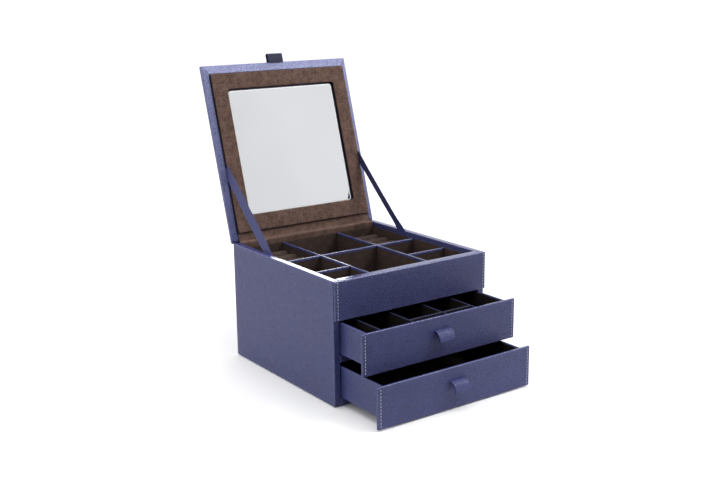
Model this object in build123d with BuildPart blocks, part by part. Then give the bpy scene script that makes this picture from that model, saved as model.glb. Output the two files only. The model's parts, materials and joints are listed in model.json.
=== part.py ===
from build123d import *
import os
from math import atan2, cos, radians, sin, tan

os.makedirs("parts", exist_ok=True)

# Jewelry box, in millimetres. The origin is the centre of the case's footprint on the table.
# +X is to the right of a person facing the drawers, +Y is towards the hinge, +Z is up.

# Case
case_width = 260.0
case_depth = 264.0
case_height = 174.0
board = 10.0
thin_board = 3.0
panel = 4.0
base_sheet = 1.0
base_inset = 3.0
bottom_top_z = 11.5
shelf_bottom_z = 61.6
shelf_top_z = 72.1
rail_bottom_z = 119.0
tray_floor_z = 122.0
top_panel_bottom_z = 120.0
top_panel_width = 258.8

# Tray linings and dividers, measured below the rim
lining = 1.6
lining_drop = 8.0
divider = 2.6
divider_drop = 7.5
divider_x = 50.0
cross_divider_y = 16.5
short_divider_y = -57.0
lap_clearance = 0.15
ring_rolls = 4
ring_roll_top_z = 158.0
roll_clearance = 0.3

# Lid: "out" is measured outwards from the hinge plane, "along" from the hinge line to the tab
lid_angle = 106.66
lid_length = 268.0
lid_width = 260.0
lid_board_thickness = 8.0
hinge_clearance = 0.3
pad_half_width = 119.0
pad_start = 13.0
pad_end = 253.4
pad_height = 5.0
mirror_half_width = 94.0
mirror_start = 39.0
mirror_end = 228.0
mirror_corner = 4.0
mirror_recess = 3.6
mirror_card = 1.0
mirror_thickness = 1.8
glass_clearance = 0.2

# Straps that hold the open lid. Their tails go down into pockets behind the side linings.
strap_x = 119.5
strap_thickness = 0.8
strap_half_width = 7.5
strap_lid_along = 110.0
strap_rim_y = 48.0
strap_tail = 12.0
pocket_depth = 1.0
pocket_drop = 15.0
pocket_y = 36.0
pocket_width = 52.0

# Flexible strips at the hinge
spine_thickness = 1.0
spine_drop = 20.0
spine_crease_out = 1.35
band_thickness = 0.8
band_top_along = 12.5
strip_inset = 1.0

# Leather tabs
tab_width = 26.0
tab_thickness = 2.6
tab_reach = 12.0
tab_fall = 14.0
lid_tab_width = 27.0
lid_tab_height = 13.5
lid_tab_leather = 1.3
lid_tab_half = 3.0

# Drawers
drawer_panel_height = 57.2
drawer_box_lift = 10.8
drawer_box_height = 44.0
drawer_box_half_width = 119.2
drawer_box_length = 244.0
drawer_lining = 1.0
cell_divider_drop = 1.5
cell_divider = 2.5
cell_divider_xs = (-92.0, -38.0, 19.0, 69.0)
cell_strip_setback = 16.0
upper_panel_front_y = -196.5
upper_panel_bottom_z = 62.4
lower_panel_front_y = -228.5
lower_panel_bottom_z = 1.8
tab_below_top = 18.5

half_width = case_width / 2
half_depth = case_depth / 2
inner_half_width = half_width - board
inner_half_depth = half_depth - board
lining_top_z = case_height - lining_drop
divider_top_z = case_height - divider_drop
lined_half_width = inner_half_width - lining
lined_half_depth = inner_half_depth - lining

# The lid leans back from the hinge line. Its plane has its x along the case and its y up the lid,
# and its normal points outwards, away from the tray.
lean = radians(lid_angle - 90)
hinge_point = (0, half_depth, case_height)
lid_normal = (0, cos(lean), -sin(lean))
lid_plane = Plane(origin=hinge_point, x_dir=(-1, 0, 0), z_dir=lid_normal)


def save(piece, name):
    piece.part.label = name
    export_step(piece.part, f"parts/{name}.step")


def box_between(name, x_low, x_high, y_low, y_high, z_low, z_high):
    """One straight board, given by its two ends along each axis."""
    with BuildPart() as piece:
        with BuildSketch(Plane.XY.offset(z_low)):
            with Locations(((x_low + x_high) / 2, (y_low + y_high) / 2)):
                Rectangle(x_high - x_low, y_high - y_low)
        extrude(amount=z_high - z_low)
    save(piece, name)


# Case boards. Each is a board wrapped in leather, and the back and front ones stand between the sides.
wall_bottom_z = base_sheet
box_between(
    "base_sheet",
    base_inset - half_width, half_width - base_inset,
    base_inset - half_depth, half_depth - base_inset,
    0, base_sheet,
)
box_between("left_wall", -half_width, -inner_half_width, -half_depth, half_depth, wall_bottom_z, case_height)
box_between("right_wall", inner_half_width, half_width, -half_depth, half_depth, wall_bottom_z, case_height)
box_between(
    "back_wall",
    -inner_half_width, inner_half_width, inner_half_depth, half_depth, wall_bottom_z, case_height,
)
box_between(
    "bottom_board",
    -inner_half_width, inner_half_width, -half_depth, inner_half_depth, wall_bottom_z, bottom_top_z,
)
box_between(
    "drawer_shelf",
    -inner_half_width, inner_half_width, -half_depth, inner_half_depth, shelf_bottom_z, shelf_top_z,
)
box_between(
    "front_rail",
    -inner_half_width, inner_half_width, -half_depth, -inner_half_depth, rail_bottom_z, case_height,
)
box_between(
    "tray_floor",
    -inner_half_width, inner_half_width, -inner_half_depth, inner_half_depth, rail_bottom_z, tray_floor_z,
)
box_between(
    "top_front_panel",
    -top_panel_width / 2, top_panel_width / 2,
    -half_depth - panel, -half_depth,
    top_panel_bottom_z, case_height,
)

# Suede lining boards around the tray. The side ones have a pocket behind them for the strap's tail.
for side_name, side in (("left", -1), ("right", 1)):
    with BuildPart() as side_lining:
        with BuildSketch(Plane.XY.offset(tray_floor_z)):
            with Locations((side * (inner_half_width - lining / 2), 0)):
                Rectangle(lining, 2 * inner_half_depth)
        extrude(amount=lining_top_z - tray_floor_z)
        with BuildSketch(Plane.XY.offset(lining_top_z)):
            with Locations((side * (inner_half_width - pocket_depth / 2), pocket_y)):
                Rectangle(pocket_depth, pocket_width)
        extrude(amount=-pocket_drop, mode=Mode.SUBTRACT)
    save(side_lining, f"{side_name}_tray_lining")
box_between(
    "front_tray_lining",
    -lined_half_width, lined_half_width, -inner_half_depth, -lined_half_depth, tray_floor_z, lining_top_z,
)
box_between(
    "back_tray_lining",
    -lined_half_width, lined_half_width, lined_half_depth, inner_half_depth, tray_floor_z, lining_top_z,
)

# Long dividers run front to back. They are slotted from above where the cross divider laps them.
half_height_z = (tray_floor_z + divider_top_z) / 2
slot = divider + 2 * lap_clearance
for side_name, side in (("left", -1), ("right", 1)):
    with BuildPart() as long_divider:
        with BuildSketch(Plane.XY.offset(tray_floor_z)):
            with Locations((side * divider_x, 0)):
                Rectangle(divider, 2 * lined_half_depth)
        extrude(amount=divider_top_z - tray_floor_z)
        with BuildSketch(Plane.XY.offset(half_height_z)):
            with Locations((side * divider_x, cross_divider_y)):
                Rectangle(divider, slot)
        extrude(amount=divider_top_z - half_height_z, mode=Mode.SUBTRACT)
    save(long_divider, f"{side_name}_long_divider")

# The cross divider is slotted from below, so that it drops over the long ones.
with BuildPart() as cross_divider:
    with BuildSketch(Plane.XY.offset(tray_floor_z)):
        with Locations((0, cross_divider_y)):
            Rectangle(2 * lined_half_width, divider)
    extrude(amount=divider_top_z - tray_floor_z)
    with BuildSketch(Plane.XY.offset(tray_floor_z)):
        with Locations((-divider_x, cross_divider_y), (divider_x, cross_divider_y)):
            Rectangle(slot, divider)
    extrude(amount=half_height_z - tray_floor_z, mode=Mode.SUBTRACT)
save(cross_divider, "cross_divider")

column_inner_x = divider_x + divider / 2
for side_name, x_low, x_high in (
    ("left", -lined_half_width, -column_inner_x),
    ("right", column_inner_x, lined_half_width),
):
    box_between(
        f"{side_name}_short_divider",
        x_low, x_high,
        short_divider_y - divider / 2, short_divider_y + divider / 2,
        tray_floor_z, divider_top_z,
    )

# Ring cushion rolls fill the two back corners of the tray, and rings stand in the grooves between them.
rolls_front_y = cross_divider_y + divider / 2
roll_pitch = (lined_half_depth - rolls_front_y) / ring_rolls
roll_half = roll_pitch / 2 - roll_clearance / 2
roll_middle_x = (column_inner_x + lined_half_width) / 2
roll_length = lined_half_width - column_inner_x - 2 * roll_clearance
for side_name, side in (("left", -1), ("right", 1)):
    for number in range(ring_rolls):
        roll_y = rolls_front_y + roll_pitch * (number + 0.5)
        roll_plane = Plane.YZ.offset(side * roll_middle_x - roll_length / 2)
        with BuildPart() as ring_roll:
            with BuildSketch(roll_plane):
                with Locations((roll_y, tray_floor_z)):
                    Rectangle(
                        2 * roll_half,
                        ring_roll_top_z - roll_half - tray_floor_z,
                        align=(Align.CENTER, Align.MIN),
                    )
                with Locations((roll_y, ring_roll_top_z - roll_half)):
                    Circle(roll_half)
            extrude(amount=roll_length)
        save(ring_roll, f"{side_name}_ring_roll_{number + 1}")


# Lid, drawn on the hinge plane: x across the case, y up the lid, extruded outwards or inwards.
lid_inside = hinge_clearance
lid_outside = lid_inside + lid_board_thickness
mirror_height = mirror_end - mirror_start
mirror_middle = (mirror_start + mirror_end) / 2

# The lid board has a recess for the mirror, which lies on a card at its bottom.
with BuildPart() as lid_board:
    with BuildSketch(lid_plane.offset(lid_inside)):
        with Locations((0, lid_length / 2)):
            Rectangle(lid_width, lid_length)
    extrude(amount=lid_board_thickness)
    with BuildSketch(lid_plane.offset(lid_inside)):
        with Locations((0, mirror_middle)):
            RectangleRounded(2 * mirror_half_width, mirror_height, mirror_corner)
    extrude(amount=mirror_recess, mode=Mode.SUBTRACT)
save(lid_board, "lid_board")

with BuildPart() as mirror_pad:
    with BuildSketch(lid_plane.offset(lid_inside)):
        with Locations((0, (pad_start + pad_end) / 2)):
            Rectangle(2 * pad_half_width, pad_end - pad_start)
        with Locations((0, mirror_middle)):
            RectangleRounded(2 * mirror_half_width, mirror_height, mirror_corner, mode=Mode.SUBTRACT)
    extrude(amount=-pad_height)
save(mirror_pad, "mirror_pad")

with BuildPart() as mirror_backing:
    with BuildSketch(lid_plane.offset(lid_inside + mirror_recess)):
        with Locations((0, mirror_middle)):
            RectangleRounded(
                2 * (mirror_half_width - glass_clearance),
                mirror_height - 2 * glass_clearance,
                mirror_corner,
            )
    extrude(amount=-mirror_card)
save(mirror_backing, "mirror_backing")

with BuildPart() as mirror_glass:
    with BuildSketch(lid_plane.offset(lid_inside + mirror_recess - mirror_card)):
        with Locations((0, mirror_middle)):
            RectangleRounded(
                2 * (mirror_half_width - glass_clearance),
                mirror_height - 2 * glass_clearance,
                mirror_corner,
            )
    extrude(amount=-mirror_thickness)
save(mirror_glass, "mirror_glass")

# The lid's tab is one strip folded over, and both ends go in under the lid's edge.
lid_middle_out = (lid_inside + lid_outside) / 2
lid_section = Plane(origin=hinge_point, x_dir=lid_normal, z_dir=(1, 0, 0))
tab_top_along = lid_length + lid_tab_height - lid_tab_half
with BuildPart() as lid_tab:
    with BuildSketch(lid_section.offset(-lid_tab_width / 2)):
        with Locations((lid_middle_out, lid_length)):
            Rectangle(2 * lid_tab_half, tab_top_along - lid_length, align=(Align.CENTER, Align.MIN))
        with Locations((lid_middle_out, tab_top_along)):
            Circle(lid_tab_half)
        with Locations((lid_middle_out, lid_length)):
            Rectangle(
                2 * (lid_tab_half - lid_tab_leather),
                tab_top_along - lid_length,
                align=(Align.CENTER, Align.MIN),
                mode=Mode.SUBTRACT,
            )
        with Locations((lid_middle_out, tab_top_along)):
            Circle(lid_tab_half - lid_tab_leather, mode=Mode.SUBTRACT)
    extrude(amount=lid_tab_width)
save(lid_tab, "lid_tab")


# Flexible strips between the case and the lid, each a closed outline in the side view.
def lid_point(along, out):
    """Side-view place (y, z) of a point given along the lid and outwards from the hinge plane."""
    return (
        half_depth + along * sin(lean) + out * cos(lean),
        case_height + along * cos(lean) - out * sin(lean),
    )


def side_view_strip(name, outline, x_low, x_high):
    with BuildPart() as piece:
        with BuildSketch(Plane.YZ.offset(x_low)):
            with BuildLine():
                Polyline(*outline, close=True)
            make_face()
        extrude(amount=x_high - x_low)
    save(piece, name)


# Each strap is one straight ribbon on edge, from the lid's inside face to its tail behind the lining.
strap_lid_y, strap_lid_z = lid_point(strap_lid_along, lid_inside)
strap_angle = atan2(strap_lid_z - case_height, strap_lid_y - strap_rim_y)
strap_tail_z = lining_top_z - strap_tail
strap_tail_y = strap_rim_y - (case_height - strap_tail_z) / tan(strap_angle)
strap_half_level = strap_half_width / sin(strap_angle)
strap_half_along = strap_half_width / sin(radians(90) - lean - strap_angle)
for side_name, side in (("left", -1), ("right", 1)):
    side_view_strip(
        f"{side_name}_strap",
        [
            (strap_tail_y - strap_half_level, strap_tail_z),
            (strap_tail_y + strap_half_level, strap_tail_z),
            lid_point(strap_lid_along - strap_half_along, lid_inside),
            lid_point(strap_lid_along + strap_half_along, lid_inside),
        ],
        side * strap_x - strap_thickness / 2,
        side * strap_x + strap_thickness / 2,
    )

# Leather spine outside the hinge: up the back wall's face, then out along the lid's back edge.
side_view_strip(
    "spine_leather",
    [
        (half_depth, case_height - spine_drop),
        (half_depth + spine_thickness, case_height - spine_drop),
        lid_point(-spine_thickness, spine_crease_out),
        lid_point(-spine_thickness, lid_outside),
        lid_point(0, lid_outside),
        lid_point(0, lid_inside),
        (half_depth, case_height - lid_inside),
    ],
    strip_inset - half_width,
    half_width - strip_inset,
)

# Suede hinge band inside, from the mirror pad over the back wall's top and down to the tray lining.
side_view_strip(
    "hinge_band",
    [
        lid_point(band_top_along, lid_inside),
        (half_depth, case_height),
        (inner_half_depth, case_height),
        (inner_half_depth, lining_top_z),
        (inner_half_depth - band_thickness, lining_top_z),
        (inner_half_depth - band_thickness, case_height + band_thickness),
        (half_depth - band_thickness, case_height + band_thickness),
        lid_point(band_top_along, lid_inside - band_thickness),
    ],
    strip_inset - inner_half_width,
    inner_half_width - strip_inset,
)


# Drawers. Each has a leather-covered front panel, an open box behind it and a tab to pull it by.
def drawer(prefix, panel_front_y, panel_bottom_z):
    panel_back_y = panel_front_y + panel
    panel_top_z = panel_bottom_z + drawer_panel_height
    box_bottom_z = panel_bottom_z + drawer_box_lift
    box_top_z = box_bottom_z + drawer_box_height
    box_back_y = panel_back_y + drawer_box_length
    side_inner = drawer_box_half_width - thin_board
    front_inner_y = panel_back_y + thin_board
    back_inner_y = box_back_y - thin_board
    box_between(
        f"{prefix}_drawer_panel",
        -half_width, half_width, panel_front_y, panel_back_y, panel_bottom_z, panel_top_z,
    )
    for side_name, x_low in (("left", -drawer_box_half_width), ("right", side_inner)):
        box_between(
            f"{prefix}_drawer_{side_name}_side",
            x_low, x_low + thin_board, panel_back_y, box_back_y, box_bottom_z, box_top_z,
        )
    box_between(
        f"{prefix}_drawer_front_board",
        -side_inner, side_inner, panel_back_y, front_inner_y, box_bottom_z, box_top_z,
    )
    box_between(
        f"{prefix}_drawer_back_board",
        -side_inner, side_inner, back_inner_y, box_back_y, box_bottom_z, box_top_z,
    )
    floor_z = box_bottom_z + thin_board
    box_between(
        f"{prefix}_drawer_bottom",
        -side_inner, side_inner, front_inner_y, back_inner_y, box_bottom_z, floor_z,
    )
    box_between(
        f"{prefix}_drawer_lining",
        -side_inner, side_inner, front_inner_y, back_inner_y, floor_z, floor_z + drawer_lining,
    )
    # The tab comes out of a slit in the panel and curves over and down, as a quarter of an ellipse.
    slit_z = panel_top_z - tab_below_top
    tab_plane = Plane(origin=(tab_width / 2, panel_front_y, slit_z), x_dir=(0, -1, 0), z_dir=(-1, 0, 0))
    with BuildPart() as tab:
        with BuildSketch(tab_plane):
            with BuildLine():
                outer = EllipticalCenterArc((0, -tab_fall), tab_reach, tab_fall)
                inner = EllipticalCenterArc(
                    (0, -tab_fall), tab_reach - tab_thickness, tab_fall - tab_thickness
                )
                Line(outer @ 0, inner @ 0)
                Line(outer @ 1, inner @ 1)
            make_face()
        extrude(amount=tab_width)
    save(tab, f"{prefix}_drawer_tab")
    return front_inner_y, back_inner_y, floor_z + drawer_lining, box_top_z


upper_front_y, upper_back_y, upper_floor_z, upper_top_z = drawer(
    "upper", upper_panel_front_y, upper_panel_bottom_z
)
drawer("lower", lower_panel_front_y, lower_panel_bottom_z)

# The upper drawer is divided front to back, with a short strip across the front of the middle cells.
cell_top_z = upper_top_z - cell_divider_drop
strip_y = upper_front_y + cell_strip_setback
for number, divider_middle_x in enumerate(cell_divider_xs):
    box_between(
        f"upper_drawer_divider_{number + 1}",
        divider_middle_x - cell_divider / 2, divider_middle_x + cell_divider / 2,
        upper_front_y, upper_back_y,
        upper_floor_z, cell_top_z,
    )
for number in (1, 2):
    box_between(
        f"upper_drawer_strip_{number}",
        cell_divider_xs[number] + cell_divider / 2, cell_divider_xs[number + 1] - cell_divider / 2,
        strip_y - cell_divider / 2, strip_y + cell_divider / 2,
        upper_floor_z, cell_top_z,
    )
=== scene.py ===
# %% [markdown]
# # A leather jewelry box with a mirror lid and two drawers
#
# The box is a set of thin boards wrapped in navy imitation leather and lined with brown
# microfibre suede. A CAD model already gives every board its exact place and every joint its
# motion, so this lesson never guesses a position: it reads each one from the CAD model, and
# spends its effort on what CAD leaves out, such as rounded wraps, grain, stitches and padding.

# %% Load the measured frame
import json
import math
import random

import bmesh
import bpy
from mathutils import Matrix, Vector, noise


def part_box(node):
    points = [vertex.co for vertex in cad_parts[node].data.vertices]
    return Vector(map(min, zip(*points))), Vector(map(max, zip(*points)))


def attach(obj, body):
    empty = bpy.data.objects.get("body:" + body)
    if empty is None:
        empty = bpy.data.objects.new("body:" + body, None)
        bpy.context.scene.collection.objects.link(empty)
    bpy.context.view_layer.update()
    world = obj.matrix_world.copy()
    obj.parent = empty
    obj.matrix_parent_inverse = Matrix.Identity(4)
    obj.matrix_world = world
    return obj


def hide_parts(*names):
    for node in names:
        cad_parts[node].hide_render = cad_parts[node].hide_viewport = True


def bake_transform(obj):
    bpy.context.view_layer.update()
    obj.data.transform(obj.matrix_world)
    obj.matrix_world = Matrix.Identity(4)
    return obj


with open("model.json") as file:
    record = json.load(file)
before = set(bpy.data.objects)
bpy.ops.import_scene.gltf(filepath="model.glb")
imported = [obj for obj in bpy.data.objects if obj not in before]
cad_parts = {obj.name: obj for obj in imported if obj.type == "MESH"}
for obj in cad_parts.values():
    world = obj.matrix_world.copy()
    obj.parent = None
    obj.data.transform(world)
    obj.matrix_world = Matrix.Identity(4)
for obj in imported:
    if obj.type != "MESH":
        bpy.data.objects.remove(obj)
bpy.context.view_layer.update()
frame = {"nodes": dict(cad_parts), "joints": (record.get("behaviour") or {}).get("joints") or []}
MM = 0.001

# %% [markdown]
# ## Colour and node helpers
#
# Screen colours are sRGB, but a shader adds up light, so it wants linear values. One function
# converts them. Another adds a node with its settings and links in one call, which keeps each
# material readable as a short recipe.

# %% Colours and nodes


def linear(hex_colour):
    """The linear RGBA of an sRGB hex colour."""
    channels = [int(hex_colour[i : i + 2], 16) / 255 for i in (1, 3, 5)]
    curved = [c / 12.92 if c <= 0.04045 else ((c + 0.055) / 1.055) ** 2.4 for c in channels]
    return [*curved, 1.0]


def add_node(tree, kind, values=None, **settings):
    """Adds a shader node. Settings are its properties; values are numbers or links by socket."""
    node = tree.nodes.new("ShaderNode" + kind)
    for name, setting in settings.items():
        setattr(node, name, setting)
    for socket, value in (values or {}).items():
        if isinstance(value, bpy.types.NodeSocket):
            tree.links.new(value, node.inputs[socket])
        else:
            node.inputs[socket].default_value = value
    return node


def start_material(name, constants):
    """A new material, its node tree and its shader, with the shader's constant sockets set."""
    material = bpy.data.materials.new(name)
    material.use_nodes = True
    shader = material.node_tree.nodes["Principled BSDF"]
    for socket, value in constants.items():
        shader.inputs[socket].default_value = value
    return material, material.node_tree, shader


# The Mix node keeps its colour sockets after its number and vector ones.
MIX_FACTOR, MIX_A, MIX_B, MIX_RESULT = 0, 6, 7, 2
NUMBER_A, NUMBER_B = 2, 3
print("navy in linear light:", [round(c, 3) for c in linear("#2C3060")])

# %% [markdown]
# ## Embossed leather
#
# The wrap is polyurethane (PU) leather: a smooth plastic film pressed with a pebble grain, on a
# cloth backing. Light catches the flat pebble tops, and the creases between them stay dull; their
# darker colour is painted shade. A Voronoi texture's distance to the nearest edge is exactly that:
# flat cells with thin lines between them. A warp from a Noise texture keeps the cells from looking
# like tiles.
# The real pebbles are about 1 mm wide, too fine to show at this distance, so they are drawn
# about 2 mm wide.
#
# Where the film is pulled tight round an edge it goes a little paler, and the edges and rims also
# catch highlights, which are painted into the same pale colour. The board meshes carry a value for
# that, from 0 on the flat to 1 on a tight or bright edge, and the material mixes in the pale colour
# by it. Along the thin top of a board the film is also pressed flat, so it is smooth and shiny
# there. A second value, "polish", says where, and takes away the pebbles and the dullness.

# %% Embossed leather material


# The pale colour of stretched film, which also serves as the painted highlight on edges and rims.
STRETCHED_FILM_AND_HIGHLIGHT = "#989CCA"
# The roughness where handling and the press have polished the film.
POLISHED = 0.1


def embossed_leather(name, film, crease, grain, depth, gloss):
    """PU leather with pebbles grain wide and depth deep. Gloss is its smoothest roughness."""
    material, tree, shader = start_material(name, {"IOR": 1.5, "Specular IOR Level": 0.5})
    place = add_node(tree, "TexCoord").outputs["Object"]
    # The film is stretched along the boards, so the pebbles are wider than they are tall.
    pulled = add_node(tree, "Mapping", {"Vector": place, "Scale": (0.7, 0.8, 1.3)})
    drift = add_node(
        tree, "TexNoise", {"Vector": pulled.outputs[0], "Scale": 0.4 / grain, "Detail": 2.0}
    )
    push = add_node(
        tree, "VectorMath", {0: drift.outputs["Color"], "Scale": grain * 1.6}, operation="SCALE"
    )
    warped = add_node(
        tree, "VectorMath", {0: pulled.outputs[0], 1: push.outputs[0]}, operation="ADD"
    )
    cells = add_node(
        tree,
        "TexVoronoi",
        {"Vector": warped.outputs[0], "Scale": 1 / grain, "Randomness": 1.0},
        feature="DISTANCE_TO_EDGE",
    )
    pebble = add_node(
        tree,
        "MapRange",
        {"Value": cells.outputs["Distance"], "From Max": 0.22},
        interpolation_type="SMOOTHSTEP",
    )
    colour = add_node(
        tree,
        "Mix",
        {MIX_FACTOR: pebble.outputs[0], MIX_A: linear(crease), MIX_B: linear(film)},
        data_type="RGBA",
    )
    # Stretching opens the pebble tops, so the pale colour, partly a painted highlight, falls mostly
    # on them; the creases keep their darker painted shade.
    stretch_and_highlight = add_node(tree, "Attribute", attribute_name="stretch_and_highlight").outputs["Fac"]
    tops = add_node(tree, "MapRange", {"Value": pebble.outputs[0], "To Min": 0.4, "To Max": 1.0})
    highlight_on_tops = add_node(tree, "Math", {0: stretch_and_highlight, 1: tops.outputs[0]}, operation="MULTIPLY")
    stretched_and_highlighted = add_node(
        tree,
        "Mix",
        {
            MIX_FACTOR: highlight_on_tops.outputs[0],
            MIX_A: colour.outputs[MIX_RESULT],
            MIX_B: linear(STRETCHED_FILM_AND_HIGHLIGHT),
        },
        data_type="RGBA",
    )
    # Handling leaves broad, faint clouds in the shine and the shade.
    clouds = add_node(tree, "TexNoise", {"Vector": place, "Scale": 1 / (45 * MM), "Detail": 3.0})
    shade = add_node(tree, "MapRange", {"Value": clouds.outputs[0], "To Min": 0.86, "To Max": 1.14})
    tinted = add_node(
        tree, "VectorMath", {0: stretched_and_highlighted.outputs[MIX_RESULT], "Scale": shade.outputs[0]},
        operation="SCALE",
    )
    dull = add_node(
        tree,
        "MapRange",
        {"Value": pebble.outputs[0], "To Min": gloss + 0.22, "To Max": gloss},
    )
    worn = add_node(
        tree, "Math", {0: clouds.outputs[0], 1: 0.12, 2: dull.outputs[0]},
        operation="MULTIPLY_ADD",
    )
    pores = add_node(tree, "TexNoise", {"Vector": place, "Scale": 2.5 / grain, "Detail": 2.0})
    relief = add_node(
        tree, "Math", {0: pores.outputs[0], 1: 0.35, 2: pebble.outputs[0]},
        operation="MULTIPLY_ADD",
    )
    polish = add_node(tree, "Attribute", attribute_name="polish").outputs["Fac"]
    sunk = add_node(tree, "MapRange", {"Value": polish, "To Min": 1.0, "To Max": 0.06})
    bump = add_node(
        tree, "Bump",
        {"Height": relief.outputs[0], "Strength": sunk.outputs[0], "Distance": depth},
    )
    shine = add_node(
        tree,
        "Mix",
        {MIX_FACTOR: polish, NUMBER_A: worn.outputs[0], NUMBER_B: POLISHED},
        data_type="FLOAT",
    )
    tree.links.new(tinted.outputs[0], shader.inputs["Base Color"])
    tree.links.new(shine.outputs[0], shader.inputs["Roughness"])
    tree.links.new(bump.outputs[0], shader.inputs["Normal"])
    return material


navy_pu_leather = embossed_leather(
    "Navy PU leather, pebble embossed", "#3D427A", "#2B2F5B", 2.2 * MM, 0.22 * MM, 0.22
)
ribbon_pu_leather = embossed_leather(
    "Navy PU leather ribbon, smooth", "#3A3F76", "#343868", 1.6 * MM, 0.03 * MM, 0.34
)
tab_pu_leather = embossed_leather(
    "Navy PU leather for tabs, pebble embossed", "#3C417C", "#292D5C", 2.2 * MM, 0.22 * MM, 0.28
)
# A darker copy of the navy leather, as painted shade, for the drawer's cell bindings and the lid
# tab.
matt_shaded_pu_leather = embossed_leather(
    "Navy PU leather, matt, painted shade", "#1C2044", "#171A38", 1.6 * MM, 0.04 * MM, 0.50
)
leathers = (navy_pu_leather, ribbon_pu_leather, tab_pu_leather, matt_shaded_pu_leather)
print("leathers:", [leather.name for leather in leathers])

# %% [markdown]
# ## Suede
#
# The lining is microfibre suede: a cloth whose brushed fibres stand up and lie over in patches,
# so it looks mottled, with no shine. Two scales of Noise mix a dark and a light brown: patches
# about 9 mm wide where the nap lies differently, and fibres, drawn 1.3 mm wide instead of their
# real tenth of a millimetre. Sheen gives the pale bloom at glancing angles.

# %% Suede material


def microfibre_suede(name, deep, pale, bloom):
    """Brushed suede between a deep and a pale colour, with a sheen of strength bloom."""
    nap = {
        "Roughness": 0.95,
        "Specular IOR Level": 0.15,
        "Sheen Weight": bloom,
        "Sheen Roughness": 0.45,
        "Sheen Tint": linear("#C9A79A"),
    }
    material, tree, shader = start_material(name, nap)
    place = add_node(tree, "TexCoord").outputs["Object"]
    patches = add_node(
        tree,
        "TexNoise",
        {"Vector": place, "Scale": 1 / (9 * MM), "Detail": 4.0, "Roughness": 0.6},
    )
    fibres = add_node(tree, "TexNoise", {"Vector": place, "Scale": 1 / (1.3 * MM), "Detail": 3.0})
    lie = add_node(
        tree, "MapRange", {"Value": patches.outputs[0], "From Min": 0.3, "From Max": 0.7}
    )
    strand = add_node(
        tree, "MapRange", {"Value": fibres.outputs[0], "From Min": 0.3, "From Max": 0.7}
    )
    both = add_node(
        tree,
        "Mix",
        {MIX_FACTOR: 0.6, NUMBER_A: lie.outputs[0], NUMBER_B: strand.outputs[0]},
        data_type="FLOAT",
    )
    colour = add_node(
        tree,
        "Mix",
        {MIX_FACTOR: both.outputs[0], MIX_A: linear(deep), MIX_B: linear(pale)},
        data_type="RGBA",
    )
    bump = add_node(
        tree, "Bump", {"Height": fibres.outputs[0], "Strength": 0.6, "Distance": 0.35 * MM}
    )
    tree.links.new(colour.outputs[MIX_RESULT], shader.inputs["Base Color"])
    tree.links.new(bump.outputs[0], shader.inputs["Normal"])
    return material


brown_suede = microfibre_suede("Brown microfibre suede", "#2F221D", "#83695F", 0.10)
# The tray's suede is the pad's cloth darkened as painted shade, for its deep compartments.
tray_suede_shaded = microfibre_suede("Brown microfibre suede, painted tray shade", "#2F2624", "#54453F", 0.04)
# A darker copy still, as painted shade, for the drawer linings, the cell dividers and the frame's
# card sides.
shaded_suede = microfibre_suede("Brown microfibre suede, painted deep shade", "#1A1615", "#2B2422", 0.0)
print("suedes:", [m.name for m in (brown_suede, tray_suede_shaded, shaded_suede)])

# %% [markdown]
# ## Mirror, thread, card and paper
#
# The small materials each get their own pattern. The mirror is silver behind glass, so it is a
# metal with almost no roughness and a faint cloudiness. Its bevel is matt white, a painted
# highlight for the bright line that its edge catches. The thread is two plies twisted together,
# which a Wave texture's bands draw.
# The card and the lining paper are pressed fibres. In all of them a pattern mixes two colours,
# so one function makes such a material.

# %% Small materials


def two_tone(name, constants, dark, light, kind, values, **settings):
    """A material with two colours mixed by one texture. Returns its tree, shader and texture."""
    material, tree, shader = start_material(name, constants)
    place = add_node(tree, "TexCoord").outputs["Object"]
    texture = add_node(tree, kind, {"Vector": place, **values}, **settings)
    colour = add_node(
        tree,
        "Mix",
        {MIX_FACTOR: texture.outputs["Fac"], MIX_A: linear(dark), MIX_B: linear(light)},
        data_type="RGBA",
    )
    tree.links.new(colour.outputs[MIX_RESULT], shader.inputs["Base Color"])
    return material, tree, shader, texture


mirror_glass, *_ = two_tone(
    "Silvered float glass", {"Metallic": 1.0, "Roughness": 0.015}, "#C6C8CA", "#D2D3D7",
    "TexNoise", {"Scale": 1 / (120 * MM), "Detail": 1.0},
)
white_bevel_highlight, *_ = two_tone(
    "Glass bevel, painted white highlight", {"Roughness": 0.35, "IOR": 1.52}, "#F4F5F6", "#FFFFFF",
    "TexNoise", {"Scale": 1 / (2 * MM), "Detail": 2.0},
)
polyester_thread, *_ = two_tone(
    "Off-white polyester thread, two ply", {"Roughness": 0.6, "Sheen Weight": 0.1},
    "#8E90A8", "#CDCFDB",
    "TexWave", {"Scale": 1 / (2.4 * MM), "Distortion": 1.0}, bands_direction="DIAGONAL",
)


def pressed_fibre(name, dark, light, fibre):
    """Card or paper: matt, with fibres of that width."""
    material, tree, shader, grain = two_tone(
        name, {"Roughness": 0.85}, dark, light, "TexNoise", {"Scale": 1 / fibre, "Detail": 5.0}
    )
    bump = add_node(
        tree, "Bump", {"Height": grain.outputs["Fac"], "Strength": 0.4, "Distance": 0.1 * MM}
    )
    tree.links.new(bump.outputs[0], shader.inputs["Normal"])
    return material


backing_card = pressed_fibre("Grey backing card, pressed", "#5A554F", "#7C766E", 2.0 * MM)
lining_paper = pressed_fibre("Navy lining paper, laid", "#1C1E33", "#2A2D48", 1.5 * MM)
small = (mirror_glass, white_bevel_highlight, polyester_thread, backing_card, lining_paper)
print("small materials:", [material.name for material in small])

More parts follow.
